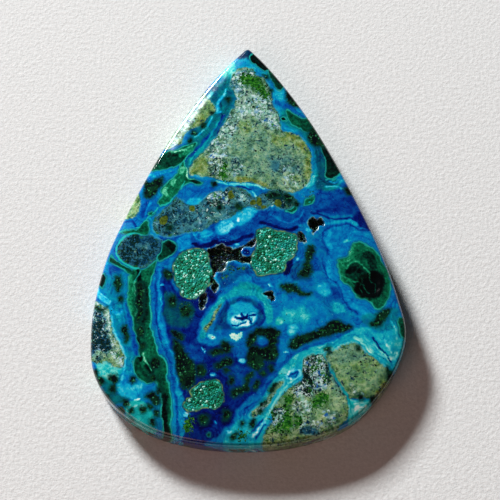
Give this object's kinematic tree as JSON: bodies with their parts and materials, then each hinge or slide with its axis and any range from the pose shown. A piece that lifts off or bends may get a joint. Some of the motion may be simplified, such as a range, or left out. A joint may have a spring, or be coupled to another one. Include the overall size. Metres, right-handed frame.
{
  "type": "polished chrysocolla cabochon",
  "caption": "Pear-shaped cabochon cut from banded blue and green copper ore, with a domed polished crown, a rounded shoulder, open crystal vugs and a flat back.",
  "frame": {"origin": "on the flat back, under the middle of the pear outline's bounding box", "axes": "+Z out of the polished crown, +Y from the round end to the tip, +X across the stone"},
  "size_m": [0.0386, 0.053, 0.005],
  "materials": {
    "chrysocolla": "polished"
  },
  "bodies": {
    "root": {"cabochon": "chrysocolla"}
  },
  "joints": []
}
